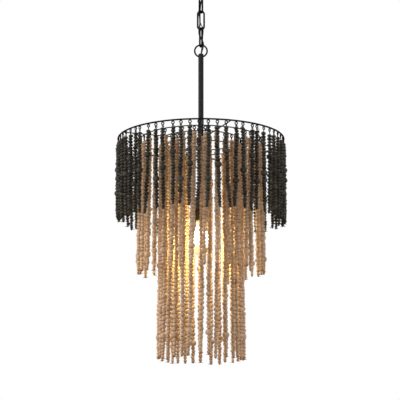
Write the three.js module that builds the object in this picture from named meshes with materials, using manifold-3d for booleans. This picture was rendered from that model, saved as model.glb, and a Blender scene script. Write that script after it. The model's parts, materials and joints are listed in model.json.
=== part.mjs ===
// A beaded chandelier: a ceiling rose, three chain links and a ring hold a tube stem,
// and three wire hoops on its four spokes carry three tiers of wooden bead strands
// round one lamp. Millimetres, +Z up, origin on the ceiling over the stem.

import * as THREE from "three";
import { mergeVertices } from "three/addons/utils/BufferGeometryUtils.js";
import Module from "manifold-3d";

const wasm = await Module();
wasm.setup();

// Clearance between pieces that rest on or pass through each other
const gap = 0.3;
const cutOverrun = 2;

// Ceiling hardware
const strapLength = 100;
const strapWidth = 20;
const strapThickness = 2.5;
const slotWidth = 5;
const slotLength = 16;
const slotSpacing = 76;
const nippleRadius = 5;
const nippleBoreRadius = 3.5;
const nippleGrip = 12;
const locknutAcrossFlats = 16;
const locknutHeight = 5;
const canopyRadius = 63.5;
const canopyDepth = 28;
const canopyWall = 1.2;
const canopyRimHeight = 4;
const canopyFlatRadius = 14;
const collarRadius = 10;
const collarHeight = 8;
const socketRadius = 7.5;
const socketHeight = 19;
const loopDiameter = 34;
const loopWire = 4.8;

// Chain links, from the ceiling down, each turned about the vertical
const linkLength = 62.5;
const linkWidth = 24;
const linkWire = 4.8;
const linkTurns = [62, 0, -70];
const loopTurn = -28;

// Ring through the head of the stem
const ringDiameter = 41;
const ringWire = 4.4;

// Stem, and the nut and hub at its foot
const stemRadius = 7.3;
const stemWall = 1;
const stemChamfer = 1.2;
const stemHeadAboveRing = 8.9;
const stemAboveHoops = 263;
const stemBelowHoops = 10;
const crossHoleRadius = 3.6;
const crossHoleRise = 0.75;
const hubRadius = 13;
const hubHeight = 11;
const hubNutAcrossFlats = 22;
const hubNutHeight = 6;

// Hoops and spokes; heights are over the plane of the two inner hoops
const outerHoopRadius = 240.5;
const outerHoopWire = 5;
const outerHoopRise = 1.5;
const middleHoopRadius = 176;
const innerHoopRadius = 116;
const fineWire = 3.2;
const spokeCount = 4;
const firstSpokeAngle = 21;

// Strands of beads; a tier's strands take its big beads' shares of their length in turn
const outerStrandLength = 257;
const outerStrandCount = 60;
const outerGroupSize = 5;
const outerFirstAngle = -1.2;
const outerBigBeadShares = [0.342, 0.669, 0.514];
const middleStrandLength = 402;
const middleStrandCount = 36;
const middleGroupSize = 3;
const middleFirstAngle = 4;
const middleUpperBigBeadShares = [0.72, 0.7];
const middleLowerBigBeadShares = [0.86, 0.84];
const innerStrandLength = 644;
const innerStrandCount = 32;
const innerGroupSize = 4;
const innerFirstAngle = 0.5;
const innerUpperBigBeadShares = [0.783, 0.725];
const innerLowerBigBeadShares = [0.904, 0.887];
const beadRadius = 6.4;
const bigBeadRadius = 10;
const tipRadius = 3.8;
const taperLength = 60;
const firstBeadDrop = 18;
const hangerThickness = 2;
const hangerGap = 0.4;
const hookThickness = 3;
const hookOverlap = 1.5;

// Lamp: rod, cup, socket, and a bulb with a screw base
const rodRadius = 6;
const rodWall = 1.5;
const rodDrop = 180;
const rodPastCupTop = 3;
const cupRadius = 21;
const cupWall = 1.2;
const cupHeight = 62;
const lampSocketHeight = 59;
const socketRecessRadius = 3;
const socketRecessDepth = 6;
const bulbBaseRadius = 13.3;
const bulbBaseLength = 27.7;
const bulbBaseProud = 1;
const bulbNeckRadius = 14;
const bulbRadius = 30;
const bulbGlassLength = 99;

// Cords: a supply cord to the lamp, and an earth wire that ends inside the stem
const cordRadius = 1.7;
const earthRadius = 1;
const cordEndGap = 0.3;
// points of the free stretches, x and y from the axis, z over the hoop plane
const cordPath = [
  [0, 1.2, 522.9], [0, 1.2, 490.9], [0, 1.2, 469.9], [3.2, 1.4, 457.9], [6.7, 1.8, 445.9],
  [-0.5, -0.9, 420.2], [-2.9, 5, 393.4], [-3, 5.2, 369.8], [-2.8, 0, 354.8],
  [-5, -5, 340.9], [-4.9, -2.2, 323.8], [1, -0.5, 310], [6.2, -4.1, 297.4], [7, -5.2, 288],
  [2.4, -4.4, 269.4], [0, -4.25, 260.4], [0, -4.25, 248.4], [0, 0, 224.4],
];
const earthPath = [
  [0, -1.9, 522.9], [0, -1.9, 490.9], [0, -1.9, 469.9], [-2.6, -2, 457.9],
  [-5.6, -1.7, 445.3], [-2.9, -4, 420.2], [-6.4, -4, 393.4], [-4, -4.4, 372],
  [-0.5, -4.6, 354.8], [6.2, -4.2, 340.9], [5.6, 0.5, 316.3], [3.1, 4.6, 289.1],
  [1, 4.2, 272.4], [0, 3.9, 260.4], [0, 3.9, 250.4], [0, 4.6, 238.4],
];

// Heights worked out from the ceiling down
const canopyTop = 0;
const collarTop = canopyTop - canopyDepth - gap;
const socketTop = collarTop - collarHeight - gap;
const socketBottom = socketTop - socketHeight;
const loopRadius = (loopDiameter - loopWire) / 2;
const loopCentre = socketBottom + socketHeight / 5 - loopRadius;
const loopBottom = loopCentre - loopRadius;
const linkHalfSpan = (linkLength - linkWire) / 2;
const linkPitch = 2 * linkHalfSpan - linkWire - gap;
const firstLinkCentre = loopBottom + (loopWire + linkWire) / 2 + gap - linkHalfSpan;
const lastLinkBottom = firstLinkCentre - (linkTurns.length - 1) * linkPitch - linkHalfSpan;
const ringRadius = (ringDiameter - ringWire) / 2;
const ringCentre = lastLinkBottom + (linkWire + ringWire) / 2 + gap - ringRadius;
const ringBottom = ringCentre - ringRadius;
const stemTop = ringBottom + stemHeadAboveRing;
const hoopPlane = stemTop - stemAboveHoops;
const spokeRise = fineWire + gap;
const cupTop = hoopPlane - rodDrop + rodPastCupTop;
const lampSocketTop = hoopPlane - rodDrop - gap;
const lampSocketBottom = lampSocketTop - lampSocketHeight;
const bulbBaseBottom = lampSocketBottom - bulbBaseProud;
const bulbGlassTop = bulbBaseBottom - gap;

const radians = THREE.MathUtils.degToRad;

function material(color, roughness, metalness) {
  return new THREE.MeshStandardMaterial({ color, roughness, metalness });
}

const blackMetal = () => material("#1d1b19", 0.55, 0.7);
const zincSteel = () => material("#8f8f8c", 0.45, 0.9);
const charcoalWood = () => material("#3b3937", 0.75, 0);
const naturalWood = () => material("#b08a6c", 0.7, 0);

// A closed solid whose faces point out, from any closed geometry
function solid(geometry) {
  const bare = geometry.clone();
  bare.deleteAttribute("normal");
  bare.deleteAttribute("uv");
  const merged = mergeVertices(bare);
  const corners = merged.attributes.position;
  const index = merged.index.array;
  const a = new THREE.Vector3();
  const b = new THREE.Vector3();
  const c = new THREE.Vector3();
  const faces = [];
  let volume = 0;
  for (let i = 0; i < index.length; i += 3) {
    const [p, q, r] = index.slice(i, i + 3);
    if (p === q || q === r || r === p) continue;
    faces.push([p, q, r]);
    a.fromBufferAttribute(corners, p);
    b.fromBufferAttribute(corners, q);
    c.fromBufferAttribute(corners, r);
    volume += a.dot(b.cross(c));
  }
  const triVerts = faces.flatMap(([p, q, r]) => (volume < 0 ? [p, r, q] : [p, q, r]));
  return new wasm.Manifold(new wasm.Mesh({
    numProp: 3,
    vertProperties: new Float32Array(corners.array),
    triVerts: new Uint32Array(triVerts),
  }));
}

// A named mesh with its own geometry and material, from a solid
function piece(name, body, look) {
  const { vertProperties, triVerts } = body.getMesh();
  const geometry = new THREE.BufferGeometry();
  geometry.setAttribute("position", new THREE.BufferAttribute(vertProperties, 3));
  geometry.setIndex(new THREE.BufferAttribute(triVerts, 1));
  geometry.computeVertexNormals();
  const mesh = new THREE.Mesh(geometry, look);
  mesh.name = name;
  return mesh;
}

// A solid turned about the vertical from a list of radius and height
function turned(profile, segments) {
  const outline = profile.map(([r, z]) => new THREE.Vector2(r, z));
  return solid(new THREE.LatheGeometry(outline, segments).rotateX(Math.PI / 2));
}

// A straight tube or washer between two heights
function sleeve(outer, inner, low, high, segments) {
  const profile = [[inner, low], [outer, low], [outer, high], [inner, high], [inner, low]];
  return turned(profile, segments);
}

// A hexagonal nut with a round hole
function nut(acrossFlats, holeRadius, low, high) {
  const cornerRadius = acrossFlats / Math.sqrt(3);
  const outline = new THREE.Shape();
  for (let i = 0; i < 6; i += 1) {
    const angle = i * Math.PI / 3;
    outline[i ? "lineTo" : "moveTo"](cornerRadius * Math.cos(angle), cornerRadius * Math.sin(angle));
  }
  outline.holes.push(new THREE.Path().absarc(0, 0, holeRadius, 0, 2 * Math.PI, true));
  const options = { depth: high - low, bevelEnabled: false, curveSegments: 8 };
  return solid(new THREE.ExtrudeGeometry(outline, options).translate(0, 0, low));
}

// A round ring that stands upright in the plane of X and Z
function uprightRing(radius, wire, segments) {
  return new THREE.TorusGeometry(radius, wire / 2, 8, segments).rotateX(Math.PI / 2);
}

// A chain link: an upright ring parted at its waist by two straight legs
function chainLink() {
  const segments = 20;
  const endRadius = (linkWidth - linkWire) / 2;
  const halfLeg = linkHalfSpan - endRadius;
  const ring = new THREE.TorusGeometry(endRadius, linkWire / 2, 8, segments);
  ring.rotateZ(Math.PI / segments).rotateX(Math.PI / 2);
  const places = ring.attributes.position;
  for (let i = 0; i < places.count; i += 1) {
    places.setZ(i, places.getZ(i) + Math.sign(places.getZ(i)) * halfLeg);
  }
  return solid(ring);
}

// A round cord through chosen points; z counts from the hoop plane
function cord(points, radius, lowEnd, steps) {
  const places = points.map(([x, y, z]) => new THREE.Vector3(x, y, hoopPlane + z));
  if (lowEnd !== null) places.push(new THREE.Vector3(0, 0, lowEnd));
  const route = new THREE.CatmullRomCurve3(places, false, "centripetal");
  const sides = 8;
  const section = new THREE.Shape();
  for (let i = 0; i < sides; i += 1) {
    const angle = i * 2 * Math.PI / sides;
    section[i ? "lineTo" : "moveTo"](radius * Math.cos(angle), radius * Math.sin(angle));
  }
  return solid(new THREE.ExtrudeGeometry(section, { steps, extrudePath: route }));
}

function mountingStrap() {
  const outline = new THREE.Shape();
  outline.moveTo(-strapLength / 2, -strapWidth / 2);
  outline.lineTo(strapLength / 2, -strapWidth / 2);
  outline.lineTo(strapLength / 2, strapWidth / 2);
  outline.lineTo(-strapLength / 2, strapWidth / 2);
  const holeRadius = nippleRadius + gap;
  outline.holes.push(new THREE.Path().absarc(0, 0, holeRadius, 0, 2 * Math.PI, true));
  const reach = (slotLength - slotWidth) / 2;
  for (const middle of [-slotSpacing / 2, slotSpacing / 2]) {
    const slot = new THREE.Path();
    slot.absarc(middle + reach, 0, slotWidth / 2, -Math.PI / 2, Math.PI / 2, false);
    slot.absarc(middle - reach, 0, slotWidth / 2, Math.PI / 2, 1.5 * Math.PI, false);
    outline.holes.push(slot);
  }
  const options = { depth: strapThickness, bevelEnabled: false, curveSegments: 8 };
  const low = canopyTop - strapThickness;
  return solid(new THREE.ExtrudeGeometry(outline, options).translate(0, 0, low));
}

// The ceiling rose: a thin dished shell with a flat foot round the nipple
function canopyShell() {
  const steps = 5;
  const rim = canopyTop - canopyRimHeight;
  const dish = (flat, radius, depth) => {
    const side = [];
    for (let i = 0; i <= steps; i += 1) {
      const angle = i * Math.PI / 2 / steps;
      const r = flat + (radius - flat) * Math.cos(angle);
      side.push([r, rim - (depth - canopyRimHeight) * Math.sin(angle)]);
    }
    return side;
  };
  const outside = dish(canopyFlatRadius, canopyRadius, canopyDepth);
  const inside = dish(canopyFlatRadius, canopyRadius - canopyWall, canopyDepth - canopyWall);
  const hole = nippleRadius + gap;
  return turned([
    [canopyRadius, canopyTop],
    ...outside,
    [hole, canopyTop - canopyDepth],
    [hole, canopyTop - canopyDepth + canopyWall],
    ...inside.reverse(),
    [canopyRadius - canopyWall, canopyTop],
    [canopyRadius, canopyTop],
  ], 30);
}

// The loop under the rose: a drilled socket on the nipple with a ring below it
function canopyLoop() {
  const gripBottom = socketTop - nippleGrip;
  const ring = solid(uprightRing(loopRadius, loopWire, 24).translate(0, 0, loopCentre));
  const body = turned([
    [0, socketBottom], [socketRadius, socketBottom], [socketRadius, socketTop], [0, socketTop],
  ], 20);
  const grip = turned([
    [0, gripBottom], [nippleRadius + gap, gripBottom],
    [nippleRadius + gap, socketTop + cutOverrun], [0, socketTop + cutOverrun],
  ], 20);
  const cordHole = turned([
    [0, socketBottom - cutOverrun], [nippleBoreRadius, socketBottom - cutOverrun],
    [nippleBoreRadius, socketTop], [0, socketTop],
  ], 16);
  return ring.add(body).subtract(grip).subtract(cordHole);
}

// The stem: a tube with a rounded head and a cross hole for the ring
function stemTube() {
  const bore = stemRadius - stemWall;
  const low = hoopPlane - stemBelowHoops;
  const tube = turned([
    [bore, low], [stemRadius, low], [stemRadius, stemTop - stemChamfer],
    [stemRadius - stemChamfer / 2, stemTop], [bore, stemTop], [bore, low],
  ], 20);
  const length = 2 * (stemRadius + cutOverrun);
  const drill = new THREE.CylinderGeometry(crossHoleRadius, crossHoleRadius, length, 14);
  drill.rotateZ(Math.PI / 2).translate(0, 0, ringBottom + crossHoleRise);
  return tube.subtract(solid(drill));
}

function hoop(radius, wire, height, segments) {
  const ring = new THREE.TorusGeometry(radius, wire / 2, 6, segments);
  return solid(ring.translate(0, 0, height));
}

function spoke() {
  const start = hubRadius + gap;
  const end = outerHoopRadius - outerHoopWire / 2 - gap;
  const wire = new THREE.CylinderGeometry(fineWire / 2, fineWire / 2, end - start, 8);
  return solid(wire.translate(0, -(start + end) / 2, hoopPlane + spokeRise));
}

// One strand: a square column as wide as its beads, a bulge at each big bead
// and a taper at its foot; the corners face outward and along the hoop
function strandColumn(length, bigBeadShares, hoopLow) {
  const top = hoopLow - firstBeadDrop;
  const bottom = hoopPlane - length;
  const profile = [[0, bottom], [tipRadius, bottom], [beadRadius, bottom + taperLength]];
  for (const share of [...bigBeadShares].reverse()) {
    const middle = hoopPlane - share * length;
    profile.push([beadRadius, middle - bigBeadRadius]);
    profile.push([bigBeadRadius, middle]);
    profile.push([beadRadius, middle + bigBeadRadius]);
  }
  profile.push([beadRadius, top], [0, top]);
  return turned(profile, 4);
}

// Strands that hang side by side, with the straight hanger that they swing on.
// The hanger lies where the group balances, just under its hoop.
function strandGroup(tier) {
  const hoopLow = hoopPlane + tier.hoopRise - tier.hoopWire / 2;
  const hangerTop = hoopLow - hangerGap;
  const angles = [];
  for (let i = 0; i < tier.groupSize; i += 1) {
    angles.push(radians((i - (tier.groupSize - 1) / 2) * 360 / tier.strandCount));
  }
  const balance = angles.reduce((sum, angle) => sum + Math.cos(angle), 0) / angles.length;
  const hangerReach = tier.hoopRadius * Math.sin(angles[angles.length - 1]) + hookThickness / 2;
  const hangerY = -tier.hoopRadius * balance;
  const bar = new THREE.BoxGeometry(2 * hangerReach, hangerThickness, hangerThickness);
  let body = solid(bar.translate(0, hangerY, hangerTop - hangerThickness / 2));
  const hookLow = hoopLow - firstBeadDrop - hookOverlap;
  const hookHeight = hangerTop - hangerThickness / 2 - hookLow;
  angles.forEach((angle, i) => {
    const x = tier.hoopRadius * Math.sin(angle);
    const hook = new THREE.BoxGeometry(hookThickness, hangerThickness, hookHeight);
    hook.translate(x, hangerY, hookLow + hookHeight / 2);
    const shares = tier.bigBeadRows.map((row) => row[(tier.firstStrand + i) % row.length]);
    const column = strandColumn(tier.strandLength, shares, hoopLow)
      .rotate([0, 0, THREE.MathUtils.radToDeg(angle)])
      .translate([x, -tier.hoopRadius * Math.cos(angle), 0]);
    body = body.add(solid(hook)).add(column);
  });
  return body;
}

function bulbGlass() {
  const steps = 8;
  const centre = bulbGlassTop - bulbGlassLength + bulbRadius;
  const profile = [[0, bulbGlassTop - bulbGlassLength]];
  const neckAngle = Math.PI * 0.76;
  for (let i = 1; i <= steps; i += 1) {
    const angle = i * neckAngle / steps;
    profile.push([bulbRadius * Math.sin(angle), centre - bulbRadius * Math.cos(angle)]);
  }
  profile.push([bulbNeckRadius, bulbGlassTop], [0, bulbGlassTop]);
  return turned(profile, 20);
}

function lampSocket() {
  const recessFloor = lampSocketTop - socketRecessDepth;
  const boreRadius = bulbBaseRadius + gap;
  const boreTop = bulbBaseBottom + bulbBaseLength + gap;
  const side = cupRadius - cupWall - gap;
  return turned([
    [0, recessFloor], [socketRecessRadius, recessFloor], [socketRecessRadius, lampSocketTop],
    [side, lampSocketTop], [side, lampSocketBottom], [boreRadius, lampSocketBottom],
    [boreRadius, boreTop], [0, boreTop],
  ], 20);
}

function lampCup() {
  const hole = rodRadius + gap;
  const low = cupTop - cupHeight;
  const inside = cupRadius - cupWall;
  return turned([
    [hole, cupTop], [cupRadius - cupWall, cupTop], [cupRadius, cupTop - cupWall], [cupRadius, low],
    [inside, low], [inside, cupTop - cupWall], [hole, cupTop - cupWall], [hole, cupTop],
  ], 24);
}

const chandelier = new THREE.Group();

function add(name, body, look, turn = 0) {
  const mesh = piece(name, body, look);
  mesh.rotation.z = radians(turn);
  chandelier.add(mesh);
  return mesh;
}

// Ceiling hardware
const nutTop = canopyTop - strapThickness - gap;
const nippleBottom = socketTop - nippleGrip + gap;
add("mounting_strap", mountingStrap(), zincSteel());
const threadHole = nippleRadius + gap;
const locknut = nut(locknutAcrossFlats, threadHole, nutTop - locknutHeight, nutTop);
add("nipple_locknut", locknut, zincSteel());
const nipple = sleeve(nippleRadius, nippleBoreRadius, nippleBottom, canopyTop, 16);
add("strap_nipple", nipple, zincSteel());
add("canopy", canopyShell(), blackMetal());
const collar = sleeve(collarRadius, threadHole, collarTop - collarHeight, collarTop, 24);
add("canopy_collar", collar, blackMetal());
add("canopy_loop", canopyLoop(), blackMetal(), loopTurn);

// Chain and stem ring
linkTurns.forEach((turn, i) => {
  const link = add(`chain_link_${i + 1}`, chainLink(), blackMetal(), turn);
  link.position.z = firstLinkCentre - i * linkPitch;
});
const stemRing = solid(uprightRing(ringRadius, ringWire, 24));
add("stem_ring", stemRing, blackMetal()).position.z = ringCentre;

// Cords
const cordEnd = lampSocketTop - socketRecessDepth + cordEndGap;
const supplyCord = cord(cordPath, cordRadius, cordEnd, 72);
add("supply_cord", supplyCord, material("#5b3f33", 0.5, 0));
add("earth_wire", cord(earthPath, earthRadius, null, 46), material("#26241f", 0.5, 0));

// Stem, hub, spokes and hoops
add("stem", stemTube(), blackMetal());
const stemHole = stemRadius + gap;
const hubMiddle = hoopPlane + spokeRise;
const hubLow = hubMiddle - hubHeight / 2;
add("hub", sleeve(hubRadius, stemHole, hubLow, hubLow + hubHeight, 24), blackMetal());
const hubNutTop = hubLow - gap;
const hubNut = nut(hubNutAcrossFlats, stemHole, hubNutTop - hubNutHeight, hubNutTop);
add("hub_nut", hubNut, blackMetal());
for (let i = 0; i < spokeCount; i += 1) {
  add(`spoke_${i + 1}`, spoke(), blackMetal(), firstSpokeAngle + i * 360 / spokeCount);
}
const outerHoopPlane = hoopPlane + outerHoopRise;
add("outer_hoop", hoop(outerHoopRadius, outerHoopWire, outerHoopPlane, 60), blackMetal());
add("middle_hoop", hoop(middleHoopRadius, fineWire, hoopPlane, 48), blackMetal());
add("inner_hoop", hoop(innerHoopRadius, fineWire, hoopPlane, 36), blackMetal());

// Lamp
const rodLow = hoopPlane - rodDrop;
add("lamp_rod", sleeve(rodRadius, rodRadius - rodWall, rodLow, hoopPlane, 16), blackMetal());
add("lamp_holder_cup", lampCup(), blackMetal());
add("lamp_socket", lampSocket(), material("#e6e0d4", 0.5, 0));
const baseProfile = [
  [0, bulbBaseBottom], [bulbBaseRadius, bulbBaseBottom],
  [bulbBaseRadius, bulbBaseBottom + bulbBaseLength], [0, bulbBaseBottom + bulbBaseLength],
];
add("bulb_base", turned(baseProfile, 20), material("#b9b6ae", 0.35, 0.9));
add("bulb_glass", bulbGlass(), material("#fff3d6", 0.1, 0));

// Three tiers of strands, in groups that each swing on their own hanger
const tiers = [
  {
    name: "outer", look: charcoalWood, hoopRadius: outerHoopRadius, hoopWire: outerHoopWire,
    hoopRise: outerHoopRise, strandLength: outerStrandLength, strandCount: outerStrandCount,
    groupSize: outerGroupSize, firstAngle: outerFirstAngle, bigBeadRows: [outerBigBeadShares],
  },
  {
    name: "middle", look: naturalWood, hoopRadius: middleHoopRadius, hoopWire: fineWire,
    hoopRise: 0, strandLength: middleStrandLength, strandCount: middleStrandCount,
    groupSize: middleGroupSize, firstAngle: middleFirstAngle,
    bigBeadRows: [middleUpperBigBeadShares, middleLowerBigBeadShares],
  },
  {
    name: "inner", look: naturalWood, hoopRadius: innerHoopRadius, hoopWire: fineWire,
    hoopRise: 0, strandLength: innerStrandLength, strandCount: innerStrandCount,
    groupSize: innerGroupSize, firstAngle: innerFirstAngle,
    bigBeadRows: [innerUpperBigBeadShares, innerLowerBigBeadShares],
  },
];
for (const tier of tiers) {
  const pitch = 360 / tier.strandCount;
  for (let group = 0; group < tier.strandCount / tier.groupSize; group += 1) {
    const firstStrand = group * tier.groupSize;
    const turn = tier.firstAngle + (firstStrand + (tier.groupSize - 1) / 2) * pitch;
    const name = `${tier.name}_strands_${String(group + 1).padStart(2, "0")}`;
    add(name, strandGroup({ ...tier, firstStrand }), tier.look(), turn);
  }
}

export default chandelier;
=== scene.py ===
# %% [markdown]
# # A beaded chandelier
# Three tiers of wooden beads hang from three wire hoops, under a tube stem, a ring, a few
# chain links and a ceiling rose, and one lamp glows inside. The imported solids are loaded
# and stay where they are. A finer piece on the same moving body then stands for each.

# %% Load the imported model
import json
import math
import random

import bmesh
import bpy
from mathutils import Matrix, Vector


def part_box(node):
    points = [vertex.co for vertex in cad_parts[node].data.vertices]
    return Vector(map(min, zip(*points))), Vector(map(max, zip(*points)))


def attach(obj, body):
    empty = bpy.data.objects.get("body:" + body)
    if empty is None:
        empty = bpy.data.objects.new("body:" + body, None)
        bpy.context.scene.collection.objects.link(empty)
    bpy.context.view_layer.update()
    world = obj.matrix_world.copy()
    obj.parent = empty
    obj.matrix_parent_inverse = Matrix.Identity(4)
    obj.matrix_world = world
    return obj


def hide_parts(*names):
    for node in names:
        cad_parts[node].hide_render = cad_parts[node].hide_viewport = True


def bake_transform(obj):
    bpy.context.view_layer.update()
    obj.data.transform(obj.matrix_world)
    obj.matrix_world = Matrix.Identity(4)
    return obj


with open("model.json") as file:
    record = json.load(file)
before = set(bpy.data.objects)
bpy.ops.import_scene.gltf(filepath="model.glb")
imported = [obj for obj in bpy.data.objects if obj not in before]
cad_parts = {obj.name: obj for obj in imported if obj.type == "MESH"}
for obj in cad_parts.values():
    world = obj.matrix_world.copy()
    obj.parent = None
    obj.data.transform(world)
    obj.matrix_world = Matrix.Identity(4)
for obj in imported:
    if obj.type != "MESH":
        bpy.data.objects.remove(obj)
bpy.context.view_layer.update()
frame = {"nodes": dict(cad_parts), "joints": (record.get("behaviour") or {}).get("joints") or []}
random.seed(7)
MM = 0.001


# %% [markdown]
# ## Heights to build on
# Every new piece sits on a solid, so its height is read from the solids and not typed in.

# %% Read the heights from the solids
def lowest(node):
    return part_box(node)[0].z


def highest(node):
    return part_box(node)[1].z


def middle_height(node):
    low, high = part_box(node)
    return ((low + high) / 2).z


hoop_plane = middle_height("inner_hoop")
print("hoops hang %.3f m under the ceiling" % -hoop_plane)


# %% [markdown]
# ## The camera
# The photo looks up at the hoops from far away: their front edge stands higher than their
# back edge, and the bead strands hardly spread. So the camera stands four metres away, a
# little under the lowest beads, and tilts up. No lens shift is needed.

# %% Set up the camera
CAMERA_DISTANCE = 4.0
CAMERA_UNDER_HOOPS = 1.007
CAMERA_TILT = 11.73
CAMERA_ASIDE = -0.0027
LENS_MM = 127.4
SENSOR_MM = 36


def add_object(name, data):
    item = bpy.data.objects.new(name, data)
    bpy.context.scene.collection.objects.link(item)
    return item


camera_data = bpy.data.cameras.new("camera")
camera_data.lens = LENS_MM
camera_data.sensor_width = SENSOR_MM
camera_data.dof.use_dof = False
camera = add_object("camera", camera_data)
camera.location = (CAMERA_ASIDE, -CAMERA_DISTANCE, hoop_plane - CAMERA_UNDER_HOOPS)
camera.rotation_euler = (math.radians(90 + CAMERA_TILT), 0, 0)
bpy.context.scene.camera = camera
bpy.context.scene.view_settings.view_transform = "Standard"
print("lens", LENS_MM, "mm, tilted up", CAMERA_TILT, "degrees")


# %% [markdown]
# ## Finishes as node trees
# Each finish is a small node tree, as a picture of wood or paint would need a file and show
# its seams. A noise pattern reads the object's own coordinates in metres, so its scale is
# real, and it changes colour, roughness and bump together.

# %% Start a material
GRAIN_HEIGHT = 0.0002


def dial(node, values):
    for name, value in values.items():
        node.inputs[name].default_value = value


class Finish:
    """A material with its nodes at hand."""

    def __init__(self, name, roughness, metallic=0.0, gloss=0.5):
        self.material = bpy.data.materials.new(name)
        self.material.use_nodes = True
        tree = self.material.node_tree
        self.nodes, self.join = tree.nodes, tree.links.new
        self.shader = tree.nodes["Principled BSDF"]
        dial(self.shader, {"Roughness": roughness, "Metallic": metallic, "Specular IOR Level": gloss})
        print("finish", name)

    def add(self, kind, **settings):
        node = self.nodes.new(kind)
        for name, value in settings.items():
            setattr(node, name, value)
        return node

    def feed(self, socket, source):
        self.join(source, self.shader.inputs[socket])

    def noise(self, scale, stretch=(1, 1, 1), detail=3.0, roughness=0.55):
        place = self.add("ShaderNodeTexCoord")
        mapping = self.add("ShaderNodeMapping")
        pattern = self.add("ShaderNodeTexNoise")
        dial(mapping, {"Scale": stretch})
        dial(pattern, {"Scale": scale, "Detail": detail, "Roughness": roughness})
        self.join(place.outputs["Object"], mapping.inputs["Vector"])
        self.join(mapping.outputs["Vector"], pattern.inputs["Vector"])
        return pattern.outputs["Fac"]

    def ramp(self, source, stops):
        node = self.add("ShaderNodeValToRGB")
        ramp = node.color_ramp
        while len(ramp.elements) < len(stops):
            ramp.elements.new(0.5)
        for element, (place, colour) in zip(ramp.elements, stops):
            element.position = place
            element.color = (*colour, 1)
        self.join(source, node.inputs["Fac"])
        return node.outputs["Color"]

    def two_tones(self, source, dark, light):
        return self.ramp(source, [(0.3, dark), (0.7, light)])

    def span(self, source, low, high, from_low=0.3, from_high=0.7):
        node = self.add("ShaderNodeMapRange")
        dial(node, {"From Min": from_low, "From Max": from_high, "To Min": low, "To Max": high})
        self.join(source, node.inputs["Value"])
        return node.outputs["Result"]

    def mix(self, amount, first, second):
        node = self.add("ShaderNodeMix", data_type="RGBA")
        self.join(amount, node.inputs[0])
        for value, socket in ((first, node.inputs[6]), (second, node.inputs[7])):
            if isinstance(value, tuple):
                socket.default_value = (*value, 1)
            else:
                self.join(value, socket)
        return node.outputs[2]

    def bump(self, height, strength, distance=GRAIN_HEIGHT):
        node = self.add("ShaderNodeBump")
        dial(node, {"Strength": strength, "Distance": distance})
        self.join(height, node.inputs["Height"])
        self.feed("Normal", node.outputs["Normal"])


print("grain stands", GRAIN_HEIGHT, "m high")


# %% [markdown]
# ## Black paint
# Wire, tube and rose are steel under black paint. Thin black wire against a white room would
# turn grey with plain gloss, so its gloss is very low. Fine specks break up the shine.

# %% Paint steel black
def black_paint(name, dark, light, roughness, gloss=0.06):
    finish = Finish(name, roughness, gloss=gloss)
    cloud = finish.noise(scale=90)
    speck = finish.noise(scale=900, detail=2)
    finish.feed("Base Color", finish.two_tones(cloud, dark, light))
    finish.feed("Roughness", finish.span(speck, roughness - 0.08, roughness + 0.12))
    finish.bump(speck, strength=0.25)
    return finish.material


black_wire = black_paint(
    "black_wire_paint", (0.005, 0.0048, 0.0045), (0.01, 0.0096, 0.0092), roughness=0.66, gloss=0.02
)
black_tube = black_paint("black_tube_paint", (0.017,) * 3, (0.032,) * 3, roughness=0.56)
grey_sleeve = black_paint(
    "grey_sleeve_paint", (0.04, 0.04, 0.041), (0.06, 0.06, 0.061), roughness=0.5
)


# %% [markdown]
# ## Zinc plate
# The strap, nipple and nut hide in the ceiling and are plated with zinc. Its crystals differ
# in tone and shine, so one noise pattern drives both.

# %% Plate steel with zinc
plate = Finish("zinc_plate", roughness=0.38, metallic=0.9)
spangle = plate.noise(scale=260, detail=4)
plate.feed("Base Color", plate.two_tones(spangle, (0.46, 0.46, 0.44), (0.6, 0.6, 0.59)))
plate.feed("Roughness", plate.span(spangle, 0.3, 0.5))
plate.bump(spangle, strength=0.1)
zinc = plate.material


# %% [markdown]
# ## Cord jackets, porcelain and the bulb's cap
# These four are plain materials. One function with a faint grain makes them all, and only
# colours, roughness, grain size and metal differ.

# %% Make the plain finishes
def plain_with_grain(name, dark, light, roughness, scale, metallic=0.0, bump=0.15, gloss=0.5):
    finish = Finish(name, roughness, metallic, gloss)
    grain = finish.noise(scale, detail=4)
    finish.feed("Base Color", finish.two_tones(grain, dark, light))
    finish.feed("Roughness", finish.span(grain, roughness - 0.06, roughness + 0.08))
    finish.bump(grain, bump)
    return finish.material


brown_jacket = plain_with_grain(
    "brown_cord_jacket", (0.026, 0.016, 0.012), (0.055, 0.034, 0.026), 0.6, 500, gloss=0.08
)
black_jacket = plain_with_grain("black_wire_jacket", (0.01,) * 3, (0.018,) * 3, 0.6, 500, gloss=0.08)
porcelain = plain_with_grain(
    "glazed_porcelain", (0.74, 0.7, 0.62), (0.84, 0.81, 0.75), 0.24, 60, bump=0.05
)
cap_metal = plain_with_grain(
    "bulb_cap_metal", (0.55, 0.54, 0.51), (0.7, 0.69, 0.66), 0.32, 300, metallic=0.9
)
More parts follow.
